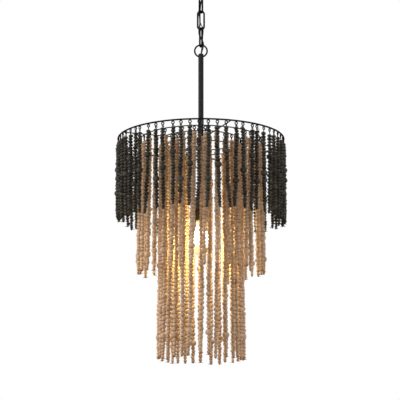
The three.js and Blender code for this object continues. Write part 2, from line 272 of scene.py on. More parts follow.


# %% [markdown]
# ## Bead wood
# A turned bead shows grain from hole to hole, and no two have the same tone. Towards its
# holes, where it meets the next bead, painted shade darkens it. The grain is noise stretched
# along the strand. Two values on the mesh steer the rest: "tone" is each bead's own, and
# above 1 it means thread. "end" grows from the bead's middle to its holes and places the
# painted shade.

# %% Stain and wax the bead wood
def bead_wood(name, dark, light, grain_dark, hole, thread, roughness, gap_shade, flecks, gloss):
    finish = Finish(name, roughness, gloss=gloss)
    tone = finish.add("ShaderNodeAttribute", attribute_name="tone").outputs["Fac"]
    end = finish.add("ShaderNodeAttribute", attribute_name="end").outputs["Fac"]
    grain = finish.noise(scale=420, stretch=(1, 1, 0.16), detail=5, roughness=0.65)
    blotch = finish.noise(scale=70, detail=2)
    wood = finish.ramp(tone, [(0.0, dark), (1.0, light)])
    fleck = finish.noise(scale=330, detail=3, roughness=0.7)
    worn = finish.mix(finish.span(grain, 0.65, 0.0, 0.36, 0.6), wood, grain_dark)
    flecked = finish.mix(finish.span(fleck, flecks, 0.0, 0.36, 0.52), worn, grain_dark)
    cloudy = finish.mix(finish.span(blotch, 0.0, 0.35), flecked, light)
    # Painted shade: each bead turns to its hole colour towards its holes, in the gap where it meets the next
    # bead.
    gap_shaded = finish.mix(finish.span(end, 0.0, gap_shade, 0.6, 1.0), cloudy, hole)
    is_thread = finish.span(tone, 0.0, 1.0, 1.2, 1.6)
    finish.feed("Base Color", finish.mix(is_thread, gap_shaded, thread))
    finish.feed("Roughness", finish.span(grain, roughness - 0.1, roughness + 0.12))
    finish.bump(grain, strength=0.35, distance=0.0003)
    return finish.material


# The hole colour is painted shade, laid round each bead's holes in the gaps between beads; it is strong on
# the charcoal beads.
charcoal_wood = bead_wood(
    "charcoal_stained_wood", dark=(0.013, 0.012, 0.01), light=(0.1, 0.087, 0.068),
    grain_dark=(0.009, 0.008, 0.006), hole=(0.006, 0.005, 0.004), thread=(0.02, 0.016, 0.013),
    roughness=0.62, gap_shade=0.8, flecks=0.5, gloss=0.1,
)
# The hole colour is painted shade, laid round each bead's holes in the gaps between beads; it is weak on the
# tan beads.
natural_wood = bead_wood(
    "natural_tan_wood", dark=(0.43, 0.26, 0.147), light=(0.78, 0.53, 0.342),
    grain_dark=(0.17, 0.085, 0.04), hole=(0.17, 0.075, 0.03), thread=(0.3, 0.125, 0.04),
    roughness=0.6, gap_shade=0.25, flecks=0.4, gloss=0.3,
)


# %% [markdown]
# ## The lit glass
# A frosted bulb is brightest round its filament and dim at its ends. The glass gives light
# of its own, and its height steers how much, so the ends stay dim.

# %% Light the glass from within
WARM, HOT = (1.0, 0.62, 0.3), (1.0, 0.9, 0.66)
DIM, FAINT, FULL = (0.035,) * 3, (0.09,) * 3, (1,) * 3
GLASS_STRENGTH = 8.0
glass = Finish("lit_frosted_glass", roughness=0.35)
frost = glass.noise(scale=240, detail=2)
glass.feed("Base Color", glass.two_tones(frost, (0.92, 0.86, 0.74), (1.0, 0.95, 0.86)))
glass.bump(frost, strength=0.05, distance=0.0001)
place = glass.add("ShaderNodeTexCoord")
parts = glass.add("ShaderNodeSeparateXYZ")
glass.join(place.outputs["Object"], parts.inputs["Vector"])
rise = glass.span(parts.outputs["Z"], 0.0, 1.0, lowest("bulb_glass"), highest("bulb_glass"))
tint = glass.ramp(rise, [(0.15, WARM), (0.5, HOT), (0.8, HOT), (1.0, WARM)])
glass.feed("Emission Color", tint)
glow = glass.ramp(
    rise, [(0.0, DIM), (0.22, FAINT), (0.42, FULL), (0.72, FULL), (0.87, FAINT), (1.0, DIM)]
)
strength = glass.add("ShaderNodeMath", operation="MULTIPLY")
glass.join(glow, strength.inputs[0])
strength.inputs[1].default_value = GLASS_STRENGTH
glass.feed("Emission Strength", strength.outputs[0])
bulb_glow = glass.material


# %% [markdown]
# ## Finishing a piece
# Every piece is finished the same way: its mesh is cleaned, shaded smooth except at sharp
# edges, given its material and set to ride on its body, and the solid it stands for is hidden.

# %% Finish a mesh as a piece
SAME_PLACE = 1e-7


def mesh_from(name, bm):
    mesh = bpy.data.meshes.new(name)
    bm.to_mesh(mesh)
    bm.free()
    return mesh


def make_piece(name, bm, look, body, node=None, slot="black_metal", sharp=0.7, clean=1e-6):
    bmesh.ops.remove_doubles(bm, verts=bm.verts, dist=clean)
    bmesh.ops.recalc_face_normals(bm, faces=bm.faces)
    for edge in bm.edges:
        edge.smooth = len(edge.link_faces) == 2 and edge.calc_face_angle(0.0) < sharp
    for face in bm.faces:
        face.smooth = True
    mesh = mesh_from(name, bm)
    mesh.materials.append(look)
    item = add_object(name, mesh)
    if body:
        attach(item, body)
    if node:
        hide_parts(node)
    print("made", name, "with", len(mesh.polygons), "faces")
    return item


# %% [markdown]
# ## Turning and bending
# Most of the metalwork is turned on a lathe or bent from round rod. A turned piece is one
# profile spun about the vertical, and a ring is a small circle spun about it.

# %% Spin a profile or a wire about the vertical
def move_by(bm, offset):
    bmesh.ops.translate(bm, verts=bm.verts, vec=offset)


def turn_by(bm, degrees, axis):
    matrix = Matrix.Rotation(math.radians(degrees), 3, axis)
    bmesh.ops.rotate(bm, verts=bm.verts, cent=(0, 0, 0), matrix=matrix)


def turned(profile, steps):
    """Radius and height pairs, spun once; closed if it ends at its start or on the axis."""
    bm = bmesh.new()
    corners = [bm.verts.new((radius, 0, height)) for radius, height in profile]
    edges = [bm.edges.new(pair) for pair in zip(corners, corners[1:])]
    bmesh.ops.spin(
        bm, geom=corners + edges, cent=(0, 0, 0), axis=(0, 0, 1), angle=math.tau,
        steps=steps, use_merge=True,
    )
    bmesh.ops.remove_doubles(bm, verts=bm.verts, dist=SAME_PLACE)
    return bm


def collar_profile(inner, outer, low, high, cut):
    """A short tube whose two outer edges are cut at a slant."""
    return [
        (inner, low), (outer - cut, low), (outer, low + cut), (outer, high - cut),
        (outer - cut, high), (inner, high), (inner, low),
    ]


def only_edges(parts):
    return [part for part in parts if isinstance(part, bmesh.types.BMEdge)]


def bent_wire(radius, wire, steps, sides=12, turns=1, rise=0):
    """A level ring round the vertical, or a wire with two ends that climbs round it by rise."""
    bm = bmesh.new()
    section = bmesh.ops.create_circle(bm, segments=sides, radius=wire / 2)["verts"]
    turn_by(bm, 90, "X")
    move_by(bm, (radius, 0, 0))
    rim = list(bm.edges)
    if rise:
        bmesh.ops.contextual_create(bm, geom=rim)
    last = bmesh.ops.spin(
        bm, geom=section + rim, cent=(0, 0, 0), axis=(0, 0, 1), dvec=(0, 0, rise / steps),
        angle=math.tau * turns, steps=steps, use_merge=not rise,
    )["geom_last"]
    if rise:
        bmesh.ops.contextual_create(bm, geom=only_edges(last))
    return bm


# %% [markdown]
# ## The two cords
# A brown supply cord and a thin dark earth wire are woven through the chain. Their routes
# are points in millimetres over the hoops' plane, the same as the solids follow. A soft
# curve through them has the lazy bends of a real cord, and straight lengths would not. Both
# are a little thicker than the solids, as the photo shows them.

# %% Lay out the cords' routes
CORD_PATH = [
    (0, 1.2, 522.9), (0, 1.2, 490.9), (0, 1.2, 469.9), (3.2, 1.4, 457.9), (6.7, 1.8, 445.9),
    (-0.5, -0.9, 420.2), (-2.9, 5, 393.4), (-3, 5.2, 369.8), (-2.8, 0, 354.8),
    (-5, -5, 340.9), (-4.9, -2.2, 323.8), (1, -0.5, 310), (6.2, -4.1, 297.4), (7, -5.2, 288),
    (2.4, -4.4, 269.4), (0, -4.25, 260.4), (0, -4.25, 248.4), (0, 0, 224.4), (0, 0, -189),
]
EARTH_PATH = [
    (0, -1.9, 522.9), (0, -1.9, 490.9), (0, -1.9, 469.9), (-2.6, -2, 457.9),
    (-5.6, -1.7, 445.3), (-2.9, -4, 420.2), (-6.4, -4, 393.4), (-4, -4.4, 372),
    (-0.5, -4.6, 354.8), (6.2, -4.2, 340.9), (5.6, 0.5, 316.3), (3.1, 4.6, 289.1),
    (1, 4.2, 272.4), (0, 3.9, 260.4), (0, 3.9, 250.4), (0, 4.6, 238.4),
]
CORD_THICKNESS = 0.0046
EARTH_THICKNESS = 0.0026
ROUTE_STEP = 0.0015


def smooth_route(points):
    """A centripetal curve through the points, in even steps."""
    places = [Vector((x * MM, y * MM, hoop_plane + z * MM)) for x, y, z in points]
    places = [2 * places[0] - places[1], *places, 2 * places[-1] - places[-2]]
    route = []
    for p0, p1, p2, p3 in zip(places, places[1:], places[2:], places[3:]):
        t1 = math.sqrt((p1 - p0).length)
        t2 = t1 + math.sqrt((p2 - p1).length)
        t3 = t2 + math.sqrt((p3 - p2).length)
        count = max(2, round((p2 - p1).length / ROUTE_STEP))
        for i in range(count):
            t = t1 + (t2 - t1) * i / count
            a1 = p0.lerp(p1, t / t1)
            a2 = p1.lerp(p2, (t - t1) / (t2 - t1))
            a3 = p2.lerp(p3, (t - t2) / (t3 - t2))
            b1 = a1.lerp(a2, t / t2)
            b2 = a2.lerp(a3, (t - t1) / (t3 - t1))
            route.append(b1.lerp(b2, (t - t1) / (t2 - t1)))
    route.append(places[-2])
    return route


def route_length(route):
    return sum((b - a).length for a, b in zip(route, route[1:]))


supply_route = smooth_route(CORD_PATH)
earth_route = smooth_route(EARTH_PATH)
print("supply cord %.3f m, earth wire %.3f m" % (route_length(supply_route), route_length(earth_route)))


# %% [markdown]
# ## Cutting the cords at the links
# The chain bends at five places, and a bending piece may cross only one joint. The chain
# bends at five places, so each cord is made in five lengths that meet in the middle of a
# link. A curve with a round bevel draws it.

# %% Cut the cords at the links
CHAIN = ["ceiling_mount", "link_1", "link_2", "link_3", "ring", "frame"]
RING_CUT_DROP = 0.011
CUT_OVERLAP = 0.001
ABOVE_ALL, BELOW_ALL = 1.0, -9.0
joint_heights = [joint["pos_m"][2] for joint in frame["joints"][: len(CHAIN) - 1]]
cut_heights = [(upper + lower) / 2 for upper, lower in zip(joint_heights[:3], joint_heights[1:4])]
cut_heights.append(joint_heights[3] - RING_CUT_DROP)


def cord_mesh(stretch, thickness):
    curve = bpy.data.curves.new("route", "CURVE")
    curve.dimensions = "3D"
    curve.bevel_depth = thickness / 2
    curve.bevel_resolution = 3
    curve.use_fill_caps = True
    spline = curve.splines.new("POLY")
    spline.points.add(len(stretch) - 1)
    for point, place in zip(spline.points, stretch):
        point.co = (*place, 1)
    drawn = add_object("route", curve)
    bpy.context.view_layer.update()
    mesh = bpy.data.meshes.new_from_object(drawn)
    bpy.data.objects.remove(drawn)
    bm = bmesh.new()
    bm.from_mesh(mesh)
    return bm


def cord_lengths(node, route, thickness, look, slot):
    tops = [ABOVE_ALL, *cut_heights]
    floors = [*cut_heights, BELOW_ALL]
    for i, (top, floor) in enumerate(zip(tops, floors)):
        stretch = [p for p in route if floor - CUT_OVERLAP <= p.z <= top + CUT_OVERLAP]
        bm = cord_mesh(stretch, thickness)
        item = make_piece(f"{node}_length_{i + 1}", bm, look, None, node, slot, sharp=1.2)
        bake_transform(item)


cord_lengths("supply_cord", supply_route, CORD_THICKNESS, brown_jacket, "cord_jacket")
cord_lengths("earth_wire", earth_route, EARTH_THICKNESS, black_jacket, "earth_jacket")


# %% [markdown]
# ## Hoops
# The hoops are bent from round rod and welded shut. A circle spun once round the vertical
# makes each. The paint adds a little to the thickness, which keeps the thin lines bold.

# %% Bend the three hoops
PAINT_BUILD = 0.0005
HOOP_STEPS = {"outer": 144, "middle": 108, "inner": 84}
for tier, steps in HOOP_STEPS.items():
    low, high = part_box(f"{tier}_hoop")
    wire = high.z - low.z
    bm = bent_wire(high.x - wire / 2, wire + PAINT_BUILD, steps)
    move_by(bm, (0, 0, (low.z + high.z) / 2))
    make_piece(f"{tier}_round_hoop", bm, black_wire, "frame", f"{tier}_hoop")


# %% [markdown]
# ## Spokes
# Thin rods run from the hub under the hoops to the outer one. Each is a cone with equal ends
# whose rims are bevelled, because a sawn rod has a small burr taken off.

# %% Lay the spokes
SPOKE_TURNS = [21, 111, 201, 291]
SPOKE_GAP = 0.0003
RIM_CUT = 0.0005
hoop_low, hoop_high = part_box("outer_hoop")
spoke_wire = highest("spoke_1") - lowest("spoke_1")
hub_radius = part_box("hub")[1].x
spoke_end = hoop_high.x - (hoop_high.z - hoop_low.z) - SPOKE_GAP
for i, turn in enumerate(SPOKE_TURNS):
    bm = bmesh.new()
    bmesh.ops.create_cone(
        bm, cap_ends=True, segments=12, radius1=spoke_wire / 2, radius2=spoke_wire / 2,
        depth=spoke_end - hub_radius,
    )
    rims = [edge for edge in bm.edges if len({round(v.co.z, 6) for v in edge.verts}) == 1]
    bmesh.ops.bevel(
        bm, geom=rims, offset=RIM_CUT, segments=2, profile=0.5, affect="EDGES", material=-1
    )
    turn_by(bm, 90, "X")
    move_by(bm, (0, -(hub_radius + spoke_end) / 2, middle_height("spoke_1")))
    turn_by(bm, turn, "Z")
    make_piece(f"round_spoke_{i + 1}", bm, black_wire, "frame", f"spoke_{i + 1}")


# %% [markdown]
# ## The stem
# The stem is a thin tube with a softened mouth and a fine groove where two lengths meet. The
# profile is spun, with the groove in it, so no cut is needed later.

# %% Turn the stem
STEM_WALL = 0.001
STEM_SHOULDER = 0.0012
FOOT_CUT = 0.0004
SEAM_RISE = 0.07
SEAM_DEPTH = 0.0006
stem_low, stem_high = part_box("stem")
stem_radius = stem_high.x + PAINT_BUILD
bore = stem_radius - STEM_WALL
seam_height = hoop_plane + SEAM_RISE
profile = [
    (bore, stem_low.z), (stem_radius - FOOT_CUT, stem_low.z), (stem_radius, stem_low.z + FOOT_CUT),
    (stem_radius, seam_height - 2 * SEAM_DEPTH), (stem_radius - SEAM_DEPTH, seam_height - SEAM_DEPTH),
    (stem_radius - SEAM_DEPTH, seam_height + SEAM_DEPTH), (stem_radius, seam_height + 2 * SEAM_DEPTH),
    (stem_radius, stem_high.z - STEM_SHOULDER * 1.6),
    (stem_radius - 0.2 * STEM_SHOULDER, stem_high.z - 0.7 * STEM_SHOULDER),
    (stem_radius - 0.45 * STEM_SHOULDER, stem_high.z - 0.15 * STEM_SHOULDER),
    (bore + 0.0001, stem_high.z), (bore, stem_high.z - 0.0003), (bore, stem_low.z),
]
stem = make_piece("stem_tube", turned(profile, 48), black_tube, "frame", "stem")


# %% [markdown]
# ## The hole for the ring
# The ring passes through a hole drilled across the stem. A round drill is subtracted with an
# exact boolean, as a turned profile can't hold a cross hole.

# %% Drill the stem across
CROSS_HOLE_RADIUS = 0.0036
CROSS_HOLE_RISE = 0.00075
ring_low, ring_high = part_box("stem_ring")
ring_wire = ring_high.y - ring_low.y
bm = bmesh.new()
bmesh.ops.create_cone(
    bm, cap_ends=True, segments=32, radius1=CROSS_HOLE_RADIUS, radius2=CROSS_HOLE_RADIUS,
    depth=4 * stem_radius,
)
turn_by(bm, 90, "Y")
move_by(bm, (0, 0, ring_low.z + ring_wire / 2 + CROSS_HOLE_RISE))
drill = add_object("drill", mesh_from("drill", bm))
cut = stem.modifiers.new("cross_hole", "BOOLEAN")
cut.operation = "DIFFERENCE"
cut.solver = "EXACT"
cut.object = drill
bpy.context.view_layer.update()
drilled = bpy.data.meshes.new_from_object(stem.evaluated_get(bpy.context.evaluated_depsgraph_get()))
stem.modifiers.clear()
stem.data = drilled
bpy.data.objects.remove(drill)
print("drilled stem has", len(drilled.polygons), "faces")


# %% [markdown]
# ## The grey sleeve
# A short sleeve just above the hoops shows greyer than the stem. It is a thin tube of its
# own round the stem, so it gets its own paint and a real edge.

# %% Fit the sleeve above the hoops
SLEEVE_LOW = 0.046
SLEEVE_HIGH = 0.063
SLEEVE_WALL = 0.0005
SLEEVE_TUCK = 0.0001
SOFT_EDGE = 0.0003
bm = turned(collar_profile(
    stem_radius - SLEEVE_TUCK, stem_radius + SLEEVE_WALL,
    hoop_plane + SLEEVE_LOW, hoop_plane + SLEEVE_HIGH, SOFT_EDGE,
), 48)
make_piece("stem_sleeve", bm, grey_sleeve, "frame")


# %% [markdown]
# ## The stem's ring
# A round ring joins the stem to the chain. It is bent like the hoops and stood upright.

# %% Bend the stem's ring
bm = bent_wire((ring_high.x - ring_low.x - ring_wire) / 2, ring_wire + PAINT_BUILD, 48)
turn_by(bm, 90, "X")
move_by(bm, (ring_low + ring_high) / 2)
make_piece("round_stem_ring", bm, black_wire, "ring", "stem_ring")


# %% [markdown]
# ## Chain links
# A link is bent from round rod: half a turn, a straight leg, half a turn and a second leg.
# Two spins and two extrusions follow the same steps, and the ends meet without a seam.

# %% Bend the chain links
LINK_TURNS = {"link_1": 62, "link_2": 0, "link_3": -70}
link_low, link_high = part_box("chain_link_2")
link_wire = link_high.y - link_low.y
link_bend = (link_high.x - link_low.x - link_wire) / 2
link_leg = (link_high.z - link_low.z - link_wire) / 2 - link_bend


def bent_link():
    bm = bmesh.new()
    section = bmesh.ops.create_circle(bm, segments=14, radius=(link_wire + PAINT_BUILD) / 2)["verts"]
    bmesh.ops.translate(bm, verts=section, vec=(link_bend, 0, link_leg))
    rim = list(bm.edges)
    for side in (1, -1):
        turned_end = bmesh.ops.spin(
            bm, geom=[*{v for e in rim for v in e.verts}, *rim], cent=(0, 0, side * link_leg),
            axis=(0, -1, 0), angle=math.pi, steps=14,
        )["geom_last"]
        rim = only_edges(turned_end)
        leg = bmesh.ops.extrude_edge_only(bm, edges=rim)["geom"]
        ends = [part for part in leg if isinstance(part, bmesh.types.BMVert)]
        bmesh.ops.translate(bm, verts=ends, vec=(0, 0, -side * 2 * link_leg))
        rim = [edge for edge in only_edges(leg) if edge.is_boundary]
    return bm


for body, turn in LINK_TURNS.items():
    bm = bent_link()
    turn_by(bm, turn, "Z")
    move_by(bm, (0, 0, middle_height(f"chain_{body}")))
    make_piece(f"round_chain_{body}", bm, black_wire, body, f"chain_{body}")


# %% [markdown]
# ## Ceiling rose
# The rose is a thin dished shell, pressed from sheet. Its outer and inner side are the same
# quarter of an ellipse, one wall apart, so one spun profile makes the shell and its rim.

# %% Turn the rose
ROSE_WALL = 0.0012
ROSE_FLAT = 0.014
ROSE_RIM = 0.004
ROSE_HOLE = 0.0053
LIP_IN = 0.0002
LIP_DOWN = 0.0003
rose_low, rose_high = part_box("canopy")
rose_radius = rose_high.x
rose_depth = -rose_low.z


def rose_side(radius, depth, steps=14):
    side = []
    for i in range(steps + 1):
        angle = math.pi / 2 * i / steps
        reach = ROSE_FLAT + (radius - ROSE_FLAT) * math.cos(angle)
        side.append((reach, -ROSE_RIM - (depth - ROSE_RIM) * math.sin(angle)))
    return side


profile = [
    (rose_radius - LIP_IN, 0), (rose_radius, -LIP_DOWN), *rose_side(rose_radius, rose_depth),
    (ROSE_HOLE, -rose_depth), (ROSE_HOLE, -rose_depth + ROSE_WALL),
    *reversed(rose_side(rose_radius - ROSE_WALL, rose_depth - ROSE_WALL)),
    (rose_radius - ROSE_WALL, -LIP_DOWN), (rose_radius - ROSE_WALL + LIP_IN, 0),
    (rose_radius - LIP_IN, 0),
]
make_piece("round_ceiling_rose", turned(profile, 96), black_tube, "ceiling_mount", "canopy")


# %% [markdown]
# ## The collar under the rose
# A screwed collar holds the rose up, and fingers turn it, so its edge is knurled. Every other
# step of the turned edge is drawn in a little, which is plainer than cutting each notch.

# %% Turn the collar and knurl its edge
KNURLS = 72
KNURL_DEPTH = 0.03
COLLAR_CUT = 0.0008
collar_low, collar_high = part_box("canopy_collar")
collar_radius = collar_high.x
bm = turned(collar_profile(ROSE_HOLE, collar_radius, collar_low.z, collar_high.z, COLLAR_CUT), KNURLS)
for vert in bm.verts:
    if abs(vert.co.xy.length - collar_radius) < 1e-6:
        notch = round(math.atan2(vert.co.y, vert.co.x) / math.tau * KNURLS) % 2
        vert.co.xy *= 1 - KNURL_DEPTH * notch
make_piece("knurled_collar", bm, black_tube, "ceiling_mount", "canopy_collar")


# %% [markdown]
# ## The screw loop
# The loop that carries the chain screws on below the collar. It is a turned socket with a
# ring of wire welded under it, so it is built as those two.

# %% Turn the loop's socket and bend its ring
LOOP_TURN = -28
SOCKET_RADIUS = 0.0075
NIPPLE_BORE = 0.0035
GRIP_DEPTH = 0.012
SOCKET_HEIGHT = 0.019
CEILING_LOOP_WIRE = 0.0048
CEILING_LOOP_RADIUS = 0.0146
loop_low, loop_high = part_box("canopy_loop")
socket_top = loop_high.z
socket_bottom = socket_top - SOCKET_HEIGHT
grip_floor = socket_top - GRIP_DEPTH
bm = turned([
    (ROSE_HOLE, grip_floor), (ROSE_HOLE, socket_top), (SOCKET_RADIUS - 0.0006, socket_top),
    (SOCKET_RADIUS, socket_top - 0.0006), (SOCKET_RADIUS, socket_bottom + 0.003),
    (SOCKET_RADIUS - 0.0008, socket_bottom + 0.001), (SOCKET_RADIUS - 0.0025, socket_bottom),
    (NIPPLE_BORE, socket_bottom), (NIPPLE_BORE, grip_floor), (ROSE_HOLE, grip_floor),
], 48)
make_piece("loop_socket", bm, black_tube, "ceiling_mount", "canopy_loop")
bm = bent_wire(CEILING_LOOP_RADIUS, CEILING_LOOP_WIRE, 48)
turn_by(bm, 90, "X")
turn_by(bm, LOOP_TURN, "Z")
move_by(bm, (0, 0, loop_low.z + CEILING_LOOP_WIRE / 2 + CEILING_LOOP_RADIUS))
make_piece("loop_ring", bm, black_wire, "ceiling_mount", "canopy_loop")


# %% [markdown]
# ## The nipple
# A hollow threaded tube holds strap, rose and loop together. Ridges at the thread's pitch
# stand for the thread, as a true spiral would not be seen in the ceiling.

# %% Cut the thread on the nipple
THREAD_PITCH = 0.0009
THREAD_DEPTH = 0.0004
THREAD_START = 0.0005
nipple_low, nipple_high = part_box("strap_nipple")
crest = nipple_high.x
root = crest - THREAD_DEPTH
ridges = int((nipple_high.z - nipple_low.z - 2 * THREAD_START) / THREAD_PITCH)
profile = [(NIPPLE_BORE, nipple_low.z), (root, nipple_low.z)]
for i in range(ridges):
    height = nipple_low.z + THREAD_START + i * THREAD_PITCH
    profile += [(root, height), (crest, height + THREAD_PITCH / 2)]
profile += [(root, nipple_high.z), (NIPPLE_BORE, nipple_high.z), (NIPPLE_BORE, nipple_low.z)]
bm = turned(profile, 24)
make_piece("threaded_nipple", bm, zinc, "ceiling_mount", "strap_nipple", "zinc_steel", sharp=0.5)


# %% [markdown]
# ## Strap and nuts
# The flat strap and the two nuts are as plain as their solids, so the solids are kept and
# only get their finish.

# %% Finish the strap and the nuts
for node, look in (("mounting_strap", zinc), ("nipple_locknut", zinc), ("hub_nut", black_tube)):
    frame["nodes"][node].data.materials.clear()
    frame["nodes"][node].data.materials.append(look)
    print(node, "wears", look.name)


# %% [markdown]
# ## The hub
# The spokes are welded to a hub on the stem: a turned collar that clears the stem by a hair.

# %% Turn the hub
HUB_CUT = 0.0009
CLEARANCE = 0.0003
hub_low, hub_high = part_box("hub")
bm = turned(collar_profile(stem_radius + CLEARANCE, hub_high.x, hub_low.z, hub_high.z, HUB_CUT), 64)
make_piece("turned_hub", bm, black_tube, "frame", "hub")


# %% [markdown]
# ## The lamp's rod and cup
# A thin tube under the hub carries the lamp. Its holder is a cup spun from sheet, with a
# round shoulder and an open mouth, so its profile runs down the outside and up the inside.

# %% Turn the rod and the cup
ROD_WALL = 0.0015
CUP_WALL = 0.0012
rod_low, rod_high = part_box("lamp_rod")
rod_radius = rod_high.x
bm = turned(collar_profile(rod_radius - ROD_WALL, rod_radius, rod_low.z, rod_high.z, SOFT_EDGE), 40)
make_piece("turned_lamp_rod", bm, black_tube, "frame", "lamp_rod")

cup_low, cup_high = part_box("lamp_holder_cup")
cup_radius = cup_high.x
cup_hole = rod_radius + CLEARANCE
cup_inside = cup_radius - CUP_WALL
bm = turned([
    (cup_hole, cup_high.z), (cup_radius - 0.005, cup_high.z), (cup_radius - 0.0024, cup_high.z - 0.0003),
    (cup_radius - 0.0007, cup_high.z - 0.0014), (cup_radius, cup_high.z - 0.0034),
    (cup_radius, cup_low.z + 0.0005), (cup_radius - 0.0003, cup_low.z), (cup_inside + 0.0002, cup_low.z),
    (cup_inside, cup_low.z + 0.0004), (cup_inside, cup_high.z - CUP_WALL), (cup_hole, cup_high.z - CUP_WALL),
    (cup_hole, cup_high.z),
], 64)
make_piece("turned_lamp_cup", bm, black_tube, "frame", "lamp_holder_cup")


# %% [markdown]
# ## The porcelain socket
# The socket sits in the cup and holds the bulb's cap. Its lower face is set back, so that the
# cup shades it and no bright disc shows over the bulb.

# %% Turn the socket
RECESS_RADIUS = 0.003
RECESS_DEPTH = 0.006
SOCKET_SET_BACK = 0.005
SOCKET_CUT = 0.0008
socket_low, socket_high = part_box("lamp_socket")
socket_side = socket_high.x
socket_floor = socket_low.z + SOCKET_SET_BACK
base_low, base_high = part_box("bulb_base")
base_radius = base_high.x
bore_radius = base_radius + CLEARANCE
bore_top = base_high.z + CLEARANCE
bm = turned([
    (0, socket_high.z - RECESS_DEPTH), (RECESS_RADIUS, socket_high.z - RECESS_DEPTH),
    (RECESS_RADIUS, socket_high.z), (socket_side, socket_high.z), (socket_side, socket_floor + SOCKET_CUT),
    (socket_side - SOCKET_CUT, socket_floor), (bore_radius, socket_floor), (bore_radius, bore_top),
    (0, bore_top),
], 48)
make_piece("porcelain_socket", bm, porcelain, "frame", "lamp_socket", "socket_ceramic")


# %% [markdown]
# ## The bulb's screw cap
# The cap is rolled from thin metal. Its thread is coarse and round, so ridges at its pitch
# are enough, under the small contact at its top.

# %% Roll the screw cap
SCREW_PITCH = 0.0036
SCREW_DEPTH = 0.0012
CAP_TOP = [(0, 0), (0.0045, 0), (0.0055, 0.0012), (0.0105, 0.0032)]
profile = [(radius, base_high.z - drop) for radius, drop in CAP_TOP]
height = base_high.z - 0.004
while height > base_low.z + 0.0045:
    profile += [(base_radius - SCREW_DEPTH, height), (base_radius, height - SCREW_PITCH / 2)]
    height -= SCREW_PITCH
skirt = base_radius - 0.001
profile += [(skirt, base_low.z + 0.0022), (skirt, base_low.z), (0, base_low.z)]
make_piece("screw_cap", turned(profile, 40), cap_metal, "frame", "bulb_base", "bulb_cap", sharp=1.2)


# %% [markdown]
# ## The glass
# The glass is blown: most of a ball that flows into a neck. An arc gives the ball and an
# eased line the neck, so they meet without a crease. The glass casts no shadow, or it would
# hold in the light of the lamp inside it.

# %% Blow the bulb
NECK_RADIUS = 0.013
NECK_TUCK = 0.004
BALL_DEGREES = 128
BALL_STEPS = 16
NECK_STEPS = 6
glass_low, glass_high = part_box("bulb_glass")
glass_radius = glass_high.x
glass_middle = glass_low.z + glass_radius
profile = [(0, glass_low.z)]
for i in range(1, BALL_STEPS + 1):
    angle = math.radians(BALL_DEGREES) * i / BALL_STEPS
    profile.append((glass_radius * math.sin(angle), glass_middle - glass_radius * math.cos(angle)))
last_radius, last_height = profile[-1]
for i in range(1, NECK_STEPS + 1):
    share = i / NECK_STEPS
    eased = share * share * (3 - 2 * share)
    profile.append((
        last_radius + (NECK_RADIUS - last_radius) * (0.35 * share + 0.65 * math.sqrt(eased)),
        last_height + (glass_high.z - NECK_TUCK - last_height) * share,
    ))
profile += [(NECK_RADIUS, glass_high.z), (0, glass_high.z)]
bm = turned(profile, 48)
bulb = make_piece("frosted_bulb", bm, bulb_glow, "frame", "bulb_glass", "bulb_glass", sharp=1.2)
bulb.visible_shadow = False


# %% [markdown]
# ## The bulb's light
# The bulb paints the inner beads yellow. Glowing glass alone would leave grain in a short
# render, so a soft point lamp near its middle gives the light.

# %% Light the bulb
LAMP_POWER = 2.5
LAMP_COLOUR = (0.95, 0.88, 0.38)
LAMP_SIZE = 0.024
LAMP_DROP = 0.006
lamp_data = bpy.data.lights.new("bulb_light", "POINT")
lamp_data.energy = LAMP_POWER
lamp_data.color = LAMP_COLOUR
lamp_data.shadow_soft_size = LAMP_SIZE
lamp = add_object("bulb_light", lamp_data)
lamp.location = (0, 0, glass_middle - LAMP_DROP)
print("bulb at %.3f m" % glass_middle)


# %% [markdown]
# ## Beads
# Small beads are short barrels threaded close together, with a few big round ones between
# them. Each kind is modelled once and stamped thousands of times, so it has few faces. Half
# its side is enough: the rest is mirrored and spun.

# %% Model one bead of each kind
def bead_shape(name, side, around):
    """A bead of radius 1 and half-height 1, from the upper half of its side."""
    bm = turned(side + [(radius, -height) for radius, height in reversed(side[:-1])], around)
    rims = [edge for edge in bm.edges if edge.is_boundary]
    bmesh.ops.holes_fill(bm, edges=rims, sides=around)
    bmesh.ops.recalc_face_normals(bm, faces=bm.faces)
    shape = mesh_from(name, bm)
    print(name, "faces", len(shape.polygons))
    return shape


round_bead = bead_shape("round_bead", [(0.32, 0.98), (0.64, 0.8), (0.89, 0.48), (1.0, 0.0)], 9)
barrel_bead = bead_shape("barrel_bead", [(0.5, 0.98), (0.78, 0.8), (0.95, 0.46), (1.0, 0.0)], 9)
big_bead = bead_shape(
    "big_bead", [(0.26, 0.97), (0.58, 0.82), (0.82, 0.58), (0.96, 0.29), (1.0, 0.0)], 14
)
knot = bead_shape("knot", [(0.5, 0.9), (0.9, 0.45), (1.0, 0.0)], 7)


# %% [markdown]
# ## The thin wires of a strand
# A strand starts at a small wire eye under the hoop. A loop of thin wire hangs in the eye,
# its legs are twisted into the first bead, and now and then an end curls out. Each is a
# small circle spun about the vertical, with or without a climb.

# %% Bend the thin wires of one strand
EYE_RADIUS = 0.0038
EYE_WIRE = 0.0032
LOOP_RADIUS = 0.002
LOOP_WIRE = 0.0026
CURL_RADIUS = 0.0027
FRAY_RADIUS = 0.0062


def thin_wire(name, *bends):
    bm = bent_wire(*bends)
    bmesh.ops.remove_doubles(bm, verts=bm.verts, dist=SAME_PLACE)
    bmesh.ops.recalc_face_normals(bm, faces=bm.faces)
    return mesh_from(name, bm)


